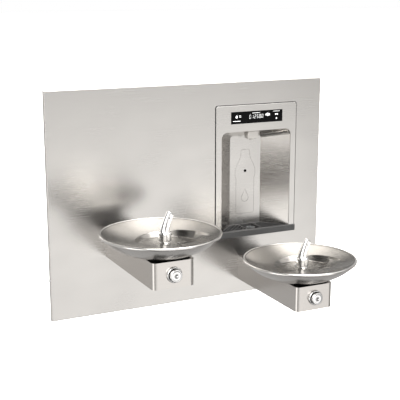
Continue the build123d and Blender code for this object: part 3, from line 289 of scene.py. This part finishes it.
def close_poles(piece):
    """Merges the points that fall together at a surface's poles and drops the empty faces there."""
    mesh = piece.data
    work = bmesh.new()
    work.from_mesh(mesh)
    bmesh.ops.remove_doubles(work, verts=work.verts, dist=0.000005)
    bmesh.ops.recalc_face_normals(work, faces=work.faces)
    work.to_mesh(mesh)
    work.free()


# ---------------------------------------------------------------- bowls
def smooth(value):
    """Smooth step: 3t^2 - 2t^3 with t held between 0 and 1."""
    t = np.clip(value, 0.0, 1.0)
    return t * t * (3 - 2 * t)


def step(value):
    """A straight ramp from 0 to 1 with small rounds at its two ends."""
    t = np.clip(value, 0.0, 1.0)
    return 0.75 * t + 0.25 * smooth(t)


BOWL_MOUTH = 176.0        # flare's radius at the rolled rim
BOWL_SHEET = 1.2
BOWL_RINGS = 66           # rings of points across the pool's wall and step
BOWL_COLUMNS = 360
BOWL_FLOOR = -42.0        # pool's floor below the rim
FLARE_RIM = -1.5
FLARE_KNEE = (120.0, -24.0)
FLARE_LOW = -34.0


def flare_height(radius):
    """Height of the flare below the rim: the circle through the rim's foot, the knee and the lowest point."""
    ax, ay = BOWL_MOUTH, FLARE_RIM - FLARE_LOW
    bx, by = FLARE_KNEE[0], FLARE_KNEE[1] - FLARE_LOW
    turn = 2 * (ax * by - ay * bx)
    cx = (by * (ax ** 2 + ay ** 2) - ay * (bx ** 2 + by ** 2)) / turn
    cy = (ax * (bx ** 2 + by ** 2) - bx * (ax ** 2 + ay ** 2)) / turn
    reach = math.hypot(cx, cy)
    return FLARE_LOW + cy - np.sqrt(reach ** 2 - (radius - cx) ** 2)


def bowl_height(radius, angle):
    """Height of the bowl's inside at a radius and an angle from +X.

    The pool is cut into the flare. Its back follows the spiral r = 140 - 0.41 * angle in degrees,
    and its front the oval round (40, 85) with half axes 115 and 106. Between the two, at the
    front right, a shallow ledge runs out with the spiral."""
    degrees = np.degrees(angle)
    degrees = np.where(degrees > 300, degrees - 360, degrees)
    spiral = np.clip(140 - 0.41 * degrees, 62, 158)
    x = radius * np.cos(angle)
    y = radius * np.sin(angle)
    deep = smooth((degrees + 5) / 25)
    wall = 4 + 8 * deep
    inside = step((spiral - radius) / wall)
    oval = np.hypot((x - 40) / 115, (y - 85) / 106)
    behind = step((1.0 - oval) / 0.11)
    flare = flare_height(radius)
    ledge = 5.0 * smooth((degrees + 36) / 40) * (degrees < 60)
    drop = inside * (behind * (flare - BOWL_FLOOR) + (1 - behind) * ledge)
    return flare - drop


def rim_curve():
    """Section of the rolled rim, from the flare's edge over the top, down and back under."""
    corners = [(178.6, -2.6, 2.6, 180, 90), (181.4, -2.6, 2.6, 90, 0), (181.0, -5.0, 3.0, 0, -90),
               (178.8, -5.6, 2.4, -90, -180)]
    points = []
    for x, z, round_size, start, end in corners:
        for turn in np.radians(np.linspace(start, end, 7)):
            points.append((x + round_size * math.cos(turn), z + round_size * math.sin(turn)))
    return points


def make_bowl(side):
    """Pressed bowl with its swirled pool, thin sheet and rolled rim, turned about its own axis."""
    low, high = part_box(f"{side}_bowl")
    centre = np.array([(low[0] + high[0]) / 2, (low[1] + high[1]) / 2, high[2]])
    columns = BOWL_COLUMNS
    angles = np.linspace(0, 2 * np.pi, columns, endpoint=False)
    inner = np.concatenate([
        [0.0], np.linspace(4, 60, 16), np.linspace(62, 142, BOWL_RINGS), np.linspace(145, BOWL_MOUTH, 14)])
    grid_r, grid_a = np.meshgrid(inner, angles, indexing="ij")
    top = bowl_height(grid_r, grid_a)
    under_r, under_a = np.meshgrid(inner[::-2], angles, indexing="ij")
    under = bowl_height(under_r, under_a) - BOWL_SHEET
    rim = np.array(rim_curve())
    rim_r = np.repeat(rim[:, :1], columns, axis=1)
    rim_z = np.repeat(rim[:, 1:], columns, axis=1)
    radius = np.concatenate([grid_r, rim_r, under_r])
    height = np.concatenate([top, rim_z, under])
    turn = np.repeat(angles[None, :], radius.shape[0], axis=0)
    points = np.stack([radius * np.cos(turn), radius * np.sin(turn), height], axis=-1) * MM + centre
    uv = np.stack([radius * MM, turn / (2 * np.pi)], axis=-1)
    bowl = surface(
        f"{side}_bowl_pressed", points, BOWL_STEEL, "fountain", wrap_columns=True, uv=uv)
    close_poles(bowl)
    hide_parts(f"{side}_bowl")


# ---------------------------------------------------------------- turned and lofted chrome
def lathe(name, section, axis_point, along, material, body, columns=96):
    """Turned piece: each (radius, distance) of the section goes round the axis through a point,
    either "up" along +Z or "out" along -Y."""
    angles = np.linspace(0, 2 * np.pi, columns, endpoint=False)
    radius = np.array(section)[:, :1] * MM
    distance = np.repeat(np.array(section)[:, 1:] * MM, columns, axis=1)
    first = radius * np.cos(angles)
    second = radius * np.sin(angles)
    parts = (first, second, distance) if along == "up" else (first, -distance, second)
    points = np.stack(parts, axis=-1) + np.array(axis_point)
    piece = surface(name, points, material, body, wrap_columns=True)
    close_poles(piece)
    return piece


def arc(x, z, size, start, end, count=8):
    """Points of a round corner in a section, by its centre, radius and two angles in degrees."""
    turns = np.radians(np.linspace(start, end, count))
    return [(x + size * math.cos(t), z + size * math.sin(t)) for t in turns]


BUBBLER_RADIUS = 20.0
SPOUT_FOOT = 29.0         # the spout's lowest section, above the pool's floor
SPOUT_TOP = 96.0
SPOUT_ROOT = (15.0, 14.0)  # half width and half thickness at the foot
SPOUT_TIP = (12.0, 8.0)
SPOUT_LEAN = 19.0         # how far the tip stands to the right of the axis
SPOUT_CURVE = 1.6
SPOUT_SET_BACK = 0.2
SPOUT_TILT = (9.0, 30.0)  # degrees at the foot and at the tip
TIP_ROUND = 3.2
TIP_START = 0.955         # share of the spout's height where its end begins to round
SQUARENESS = 0.85         # 1 would be an oval; less fills out its corners
JET_PLACE = (11.4, -9.1, 81.0)


def make_bubbler(side):
    """Chrome bubbler: round pedestal, body with a soft shoulder, and a flattened spout that leans right.

    The spout's ovals follow x = 19 * (t^1.6 - 0.2 (1 - t)^2) and tilt from 9 to 30 degrees."""
    low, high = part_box(f"{side}_bubbler")
    axis = np.array([low[0] + BUBBLER_RADIUS * MM, (low[1] + high[1]) / 2, floor_level(side)])
    # Pedestal, its neck, and the body with its round shoulder, from the floor up.
    section = [(0.0, 0.0), (15.8, 0.0)] + arc(15.8, 1.2, 1.2, -90, 0) + arc(16.2, 7.6, 0.8, 0, 60)
    section += [(15.6, 9.2), (16.6, 9.9)] + arc(16.8, 13.2, 3.2, -80, 0) + arc(12.0, 32.0, 8.0, 0, 88)
    section += [(0.0, 40.0)]
    lathe(f"{side}_bubbler_body", section, axis, "up", CHROME, "fountain")
    share = np.linspace(0, 1, 48)[:, None]
    turn = np.linspace(0, 2 * np.pi, 72, endpoint=False)[None, :]
    half_x = SPOUT_ROOT[0] + (SPOUT_TIP[0] - SPOUT_ROOT[0]) * share
    half_y = SPOUT_ROOT[1] + (SPOUT_TIP[1] - SPOUT_ROOT[1]) * (1 - (1 - share) ** 2)
    cos, sin = np.cos(turn), np.sin(turn)
    flat_x = np.sign(cos) * np.abs(cos) ** SQUARENESS
    flat_y = np.sign(sin) * np.abs(sin) ** SQUARENESS
    ease = np.ones_like(share)
    end = share > TIP_START
    ease[end] = np.sqrt(np.clip(1 - ((share[end] - TIP_START) / 0.05) ** 2, 0, 1))
    across = (half_x - TIP_ROUND + TIP_ROUND * ease) * flat_x
    depth = (half_y - TIP_ROUND + TIP_ROUND * ease) * flat_y
    tilt = np.radians(SPOUT_TILT[0] + (SPOUT_TILT[1] - SPOUT_TILT[0]) * share)
    lean = SPOUT_LEAN * (share ** SPOUT_CURVE - SPOUT_SET_BACK * (1 - share) ** 2)
    x = lean + across * np.cos(tilt)
    z = SPOUT_FOOT + (SPOUT_TOP - SPOUT_FOOT) * share - across * np.sin(tilt)
    grid = np.stack([x, depth + 0 * x, z], axis=-1)
    caps = [
        np.repeat(ring.mean(axis=0)[None, None, :], grid.shape[1], axis=1) for ring in (grid[0], grid[-1])]
    grid = np.concatenate([caps[0], grid, caps[1]]) * MM + axis
    spout = surface(f"{side}_bubbler_spout", grid, CHROME, "fountain", wrap_columns=True)
    close_poles(spout)
    lathe(
        f"{side}_bubbler_jet", [(0, 0)] + arc(1.1, 0.0, 0.8, 180, 0) + [(2.1, -3.0), (0, -3.0)],
        axis + np.array(JET_PLACE) * MM, "out", BLACK_RUBBER_AND_GAP_SHADE, "fountain", columns=24)
    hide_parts(f"{side}_bubbler")


def floor_level(side):
    """Height of the pool's floor in one bowl."""
    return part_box(f"{side}_bowl")[1][2] + BOWL_FLOOR * MM


def make_button(side):
    """Chrome push button: ring with a rolled lip, and a cap with a chamfered edge and a small centre mark."""
    low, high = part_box(f"{side}_button_ring")
    centre = np.array([(low[0] + high[0]) / 2, high[1], (low[2] + high[2]) / 2])
    face = (high[1] - low[1]) / MM
    # The lip's inside, its rolled front, its outside, then the sleeve through the arm.
    ring = [(20.1, face - 5.6), (20.1, face - 1.6)]
    ring += arc(21.4, face - 1.3, 1.3, 180, 90) + arc(21.6, face - 2.4, 2.4, 90, 0)
    ring += [(24.0, face - 6.0), (18.0, face - 6.0), (18.0, 0.0), (17.0, 0.0), (17.0, face - 5.6)]
    ring += [(20.1, face - 5.6)]
    piece = lathe(f"{side}_button_ring_rolled", ring, centre, "out", CHROME, "fountain")
    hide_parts(f"{side}_button_ring")
    low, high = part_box(f"{side}_button_cap")
    centre = np.array([(low[0] + high[0]) / 2, low[1], (low[2] + high[2]) / 2])
    # The dimple, the flat face, its rounded edge, then the stem.
    cap = [(0.0, -0.9), (1.5, -0.9), (1.9, -0.4), (2.3, 0.0), (14.6, 0.0), (15.4, -0.35)]
    cap += arc(16.6, -3.0, 2.9, 80, 0) + [(19.5, -13.0), (6.0, -13.0), (6.0, -35.0), (0.0, -35.0)]
    piece = lathe(f"{side}_button_cap_turned", cap, centre, "out", CHROME, f"{side}_button")
    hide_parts(f"{side}_button_cap")
    lathe(f"{side}_button_dot", [(0, -0.5), (0.8, -0.55), (1.2, -0.8), (1.2, -1.4), (0, -1.4)],
          centre, "out", BLACK_RUBBER_AND_GAP_SHADE, f"{side}_button", columns=24)


# ---------------------------------------------------------------- flat marks and the black band of painted shade round the bezel
def plates(name, outlines, y_back, y_front, material, body):
    """Flat shapes facing -Y: each outline is a loop of (x, z) in millimetres, made into a thin slab."""
    verts, faces = [], []
    for outline in outlines:
        base, count = len(verts), len(outline)
        verts += [(x * MM, y_front * MM, z * MM) for x, z in outline]
        verts += [(x * MM, y_back * MM, z * MM) for x, z in outline]
        faces.append([base + i for i in range(count)])
        faces.append([base + count + i for i in reversed(range(count))])
        faces += [[base + i, base + (i + 1) % count, base + count + (i + 1) % count, base + count + i]
                  for i in range(count)]
    mesh = bpy.data.meshes.new(name)
    mesh.from_pydata(verts, [], faces)
    mesh.materials.append(material)
    piece = bpy.data.objects.new(name, mesh)
    bpy.context.scene.collection.objects.link(piece)
    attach(piece, body)
    close_poles(piece)
    return piece


def ribbon(name, path, width, y_back, y_front, material, body):
    """Closed band facing -Y along a loop of (x, z): its section is a low rounded ridge."""
    loop = np.array(path)
    ahead = np.roll(loop, -1, axis=0) - np.roll(loop, 1, axis=0)
    ahead /= np.linalg.norm(ahead, axis=1)[:, None]
    normal = np.stack([ahead[:, 1], -ahead[:, 0]], axis=1)
    offsets = np.array([-0.5, -0.36, 0.0, 0.36, 0.5]) * width
    heights = np.array([y_back, (y_back + 2 * y_front) / 3, y_front, (y_back + 2 * y_front) / 3, y_back])
    flat = loop[:, None, :] + normal[:, None, :] * offsets[None, :, None]
    depth = np.repeat(heights[None, :], len(loop), axis=0)
    points = np.stack([flat[..., 0], depth, flat[..., 1]], axis=-1) * MM
    piece = surface(name, points, material, body, wrap_rows=True, wrap_columns=True)
    close_poles(piece)
    return piece


def rounded_loop(corners, size, count=7):
    """Loop of (x, z) through corners, each cut by a curve that starts a size away from it."""
    corners = np.array(corners, dtype=float)
    points = []
    for index, corner in enumerate(corners):
        before = corners[index - 1] - corner
        after = corners[(index + 1) % len(corners)] - corner
        reach = min(size, 0.45 * np.linalg.norm(before), 0.45 * np.linalg.norm(after))
        start = corner + before / np.linalg.norm(before) * reach
        end = corner + after / np.linalg.norm(after) * reach
        for t in np.linspace(0, 1, count):
            points.append((1 - t) ** 2 * start + 2 * t * (1 - t) * corner + t ** 2 * end)
    return np.array(points)


FILLER_X = 244.5          # middle of the filler
# The black band in the groove round the bezel is painted shade: it stands for the shadow in the gap between
# panel and bezel.
SHADE_BAND_OUT = 1.1          # how far the painted shade band's middle lies outside the bezel
SHADE_BAND_LOW = -164.0
half = 156.0 + SHADE_BAND_OUT
top = 291.5 + SHADE_BAND_OUT
shade_band_path = rounded_loop([
    (FILLER_X - half, SHADE_BAND_LOW), (FILLER_X - half, top), (FILLER_X + half, top),
    (FILLER_X + half, SHADE_BAND_LOW)], 9)
ribbon("filler_gap_shade_band", shade_band_path, 3.4, -12.6, -16.6, BLACK_RUBBER_AND_GAP_SHADE, "fountain")

BACK_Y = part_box("filler_back_panel")[0][1] / MM
MARK_BACK, MARK_FRONT = BACK_Y + 0.3, BACK_Y - 0.12
DROP_SIZE = 14
DROP_MIDDLE = -50
bottle = rounded_loop([
    (-36, -107), (-36, 22), (-40, 30), (-40, 52), (-36, 63), (-17.5, 100), (-17.5, 124),
    (17.5, 124), (17.5, 100), (36, 63), (40, 52), (40, 30), (36, 22), (36, -107)], 9) + (FILLER_X, 0)
ribbon("bottle_mark_line", bottle, 1.7, MARK_BACK, MARK_FRONT, ETCHED, "fountain")
turn = np.radians(np.linspace(130, -130, 40))
drop = [(DROP_SIZE * math.sin(t), DROP_MIDDLE - DROP_SIZE * math.cos(t)) for t in turn]
drop = np.array([(0, -17.5)] + drop) + (FILLER_X, 0)
ribbon("drop_mark_line", drop, 1.5, MARK_BACK, MARK_FRONT, ETCHED, "fountain")

WINDOW_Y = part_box("display_window")[0][1] / MM
WINDOW_Z = 249.25
# A numeral's bars: place across, place up, and whether the bar stands upright.
SEGMENTS = {
    "a": (0, 6, 0), "b": (2.6, 3, 1), "c": (2.6, -3, 1), "d": (0, -6, 0), "e": (-2.6, -3, 1),
    "f": (-2.6, 3, 1), "g": (0, 0, 0)}
DIGITS = {"0": "abcdef", "1": "bc", "2": "abged", "5": "afgcd", "8": "abcdefg"}
DIGIT_SLANT = 0.12
DIGIT_START = -27
DIGIT_PITCH = 9.6
DIGIT_RISE = 1.5


def segment(x, z, upright):
    """Six-sided bar of a numeral, level or upright."""
    long, short = 2.2, 0.42
    bar = [(-long, 0), (-long + short, short), (long - short, short), (long, 0),
           (long - short, -short), (-long + short, -short)]
    return [(x + (b if upright else a), z + (a if upright else b)) for a, b in bar]


def disc(x, z, size, count=28):
    """Round plate."""
    turns = np.linspace(0, 2 * np.pi, count, endpoint=False)
    return [(x + size * math.cos(t), z + size * math.sin(t)) for t in turns]


glyphs = []
for place, numeral in enumerate("012580"):
    for key in DIGITS[numeral]:
        x, z, upright = SEGMENTS[key]
        shift = DIGIT_START + DIGIT_PITCH * place
        glyphs.append([(px + DIGIT_SLANT * pz + shift, pz + DIGIT_RISE) for px, pz in segment(x, z, upright)])
# Small rules in place of captions, a drop badge, a bottle and a filter sign.
for x, z, long, thick in ((-4, 13.6, 30, 1.0), (76, 15.4, 26, 1.0), (-78, -11.2, 28, 1.6)):
    corners = [(x - long / 2, z - thick / 2), (x + long / 2, z - thick / 2),
               (x + long / 2, z + thick / 2), (x - long / 2, z + thick / 2)]
    glyphs.append(rounded_loop(corners, 0.6, 4).tolist())
badge = [(3.8 * math.sin(t), -1.0 - 3.6 * math.cos(t)) for t in np.radians(np.linspace(-125, 125, 24))]
glyphs.append([(x - 79, z + 3.5) for x, z in badge + [(1.2, 6.5)]])
glyphs.append([(-68.5, 6.4), (-63, 5.2), (-62.6, 6.6), (-68, 8.2)])
glyphs.append([(-69, 2.2), (-62, 1.2), (-62, 2.6), (-68.7, 3.8)])
flask = [(-3.4, -8), (3.4, -8), (3.4, 3), (1.5, 6), (1.5, 8.5), (-1.5, 8.5), (-1.5, 6), (-3.4, 3)]
for shift, size in ((-6.5, 0.45), (0.0, 0.7), (6.5, 0.45)):
    glyphs.append([(42 + shift + size * x, 6 + size * z) for x, z in flask])
glyphs.append(disc(73.6, 5.0, 2.6))
glyphs.append(disc(80.2, 5.0, 2.2))
glyphs.append([(73.6, -11.5), (79.4, -11.5), (77.6, -6.5), (75.4, -6.5)])
glyphs = [[(x + FILLER_X, z + WINDOW_Z) for x, z in outline] for outline in glyphs]
plates("display_figures", glyphs, WINDOW_Y + 0.1, WINDOW_Y - 0.12, PRINT_WHITE, "fountain")


def make_spring(node):
    """Coil spring: a copy of the part's mesh as its own object, fixed to the fountain in place of the part.
    """
    mesh = frame["nodes"][node].data.copy()
    spring = bpy.data.objects.new(f"{node}_coil", mesh)
    bpy.context.scene.collection.objects.link(spring)
    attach(spring, "fountain")
    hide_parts(node)
    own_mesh(spring)


for side in ("left", "right"):
    make_bowl(side)
    make_bubbler(side)
    make_button(side)
    make_spring(f"{side}_button_spring")
make_spring("solenoid_spring")


# ---------------------------------------------------------------- stage, light and camera
FLOOR_DROP = 1.01
FLOOR_HALF = 60.0
floor_mesh = bpy.data.meshes.new("studio_floor")
floor_mesh.from_pydata(
    [(-FLOOR_HALF, -FLOOR_HALF, -FLOOR_DROP), (FLOOR_HALF, -FLOOR_HALF, -FLOOR_DROP),
     (FLOOR_HALF, FLOOR_HALF, -FLOOR_DROP), (-FLOOR_HALF, FLOOR_HALF, -FLOOR_DROP)], [], [(0, 1, 2, 3)])
floor = bpy.data.objects.new("studio_floor", floor_mesh)
bpy.context.scene.collection.objects.link(floor)
# White studio paper, lit so that it shows plain white.
PAPER, paper_tree, paper_shader = new_material("studio_paper_white", Roughness=0.9)
paper_shader.inputs["Base Color"].default_value = linear("#F4F4F2")
paper_shader.inputs["Emission Color"].default_value = linear("#FFFFFF")
paper_shader.inputs["Emission Strength"].default_value = 1.0
floor_mesh.materials.append(PAPER)
floor.visible_glossy = False

world = bpy.data.worlds.new("studio_light")
bpy.context.scene.world = world
world.use_nodes = True
sky = world.node_tree
sky.nodes.clear()
direction = add(sky, "ShaderNodeTexCoord").outputs["Generated"]
axes = add(sky, "ShaderNodeSeparateXYZ", {0: direction}).outputs


def grey(value):
    """A grey as a ramp colour."""
    return (value, value, value, 1)


def by_height(stops):
    """Brightness by the direction's height, from -1 straight down to 1 straight up."""
    level = spread(sky, axes[2], -1.0, 1.0, 0.0, 1.0)
    return ramp(sky, level, [((z + 1) / 2, grey(value / 2)) for z, value in stops])


def by_side(stops):
    """Brightness by the direction's side, from -1 at the left to 1 at the right."""
    level = spread(sky, axes[0], -1.0, 1.0, 0.0, 1.0)
    return ramp(sky, level, [((x + 1) / 2, grey(value)) for x, value in stops])


def times(first, second):
    """Product of two brightnesses."""
    return add(sky, "ShaderNodeMath", {0: first, 1: second}, operation="MULTIPLY").outputs[0]


def plus(first, second):
    """Sum of two brightnesses."""
    return add(sky, "ShaderNodeMath", {0: first, 1: second}, operation="ADD").outputs[0]


def lobe(way, edge, core, brightness):
    """A round soft lamp: it brightens as the cosine of the angle to its middle goes from edge to core."""
    toward = add(sky, "ShaderNodeVectorMath", {0: direction}, operation="DOT_PRODUCT", in_1=way)
    return spread(sky, toward.outputs["Value"], edge, core, 0.0, brightness)


# In front and low: a dark floor close by and a pale floor further out, with a dark flat left of
# the camera and another at the far right.
floor_glow = times(
    by_height([(-0.75, 0.08), (-0.42, 1.30), (-0.17, 1.42), (-0.04, 0.50), (0.06, 0.15), (0.14, 0.0)]),
    by_side([(-1.0, 1.45), (-0.84, 1.25), (-0.68, 0.26), (-0.50, 0.30), (-0.38, 0.46), (0.05, 0.82),
             (0.50, 1.0), (0.70, 0.3)]))
# In front and high: a dim room with a large lamp at the right.
lamp_glow = times(
    by_height([(0.02, 0.0), (0.16, 0.12), (0.34, 0.45), (0.52, 2.0), (0.80, 2.0), (0.97, 1.0)]),
    by_side([(-0.30, 0.04), (0.12, 0.10), (0.34, 1.0)]))
# Over the bowls and over the camera: two round lamps.
over_bowls = lobe((0.10, -0.25, 0.963), 0.86, 0.97, 4.0)
over_camera = lobe((-0.40, -0.84, 0.367), 0.86, 0.95, 1.7)
front = plus(plus(floor_glow, lamp_glow), over_camera)
# Behind: a pale wall.
back = by_height([(-0.8, 0.5), (0.0, 0.55), (0.5, 0.45), (0.9, 0.4)])
behind = spread(sky, axes[1], -0.08, 0.12, 0.0, 1.0)
glow = add(sky, "ShaderNodeMix", {0: behind, 2: front, 3: back}, data_type="FLOAT").outputs[0]
glow = plus(glow, over_bowls)
glow = add(sky, "ShaderNodeMath", {0: glow}, operation="MULTIPLY", in_1=2.0).outputs[0]
studio = add(sky, "ShaderNodeBackground", {1: glow}, in_0=linear("#FFFDFB"))
plain = add(sky, "ShaderNodeBackground", in_0=(1, 1, 1, 1), in_1=1.0)
seen = add(sky, "ShaderNodeLightPath").outputs["Is Camera Ray"]
mixed = add(sky, "ShaderNodeMixShader", {0: seen, 1: studio.outputs[0], 2: plain.outputs[0]})
add(sky, "ShaderNodeOutputWorld", {0: mixed.outputs[0]})


def softbox(name, place, target, size, power):
    """A square soft light that looks at a target."""
    data = bpy.data.lights.new(name, "AREA")
    data.shape = "SQUARE"
    data.size = size
    data.energy = power
    lamp = bpy.data.objects.new(name, data)
    lamp.location = place
    lamp.rotation_euler = (Vector(target) - Vector(place)).to_track_quat("-Z", "Y").to_euler()
    bpy.context.scene.collection.objects.link(lamp)


softbox("top_softbox", (0.9, -1.9, 2.2), (0.1, -0.25, 0), 1.6, 18)

YAW = math.radians(25.88)
PITCH = math.radians(12.95)
camera_data = bpy.data.cameras.new("camera")
camera_data.lens = 82.76
camera_data.sensor_width = 36.0
camera = bpy.data.objects.new("camera", camera_data)
camera.location = (-1.2933, -2.7407, 0.6754)
camera.rotation_euler = (math.pi / 2 - PITCH, 0, -YAW)
bpy.context.scene.collection.objects.link(camera)
bpy.context.scene.camera = camera
bpy.context.scene.view_settings.view_transform = "Standard"
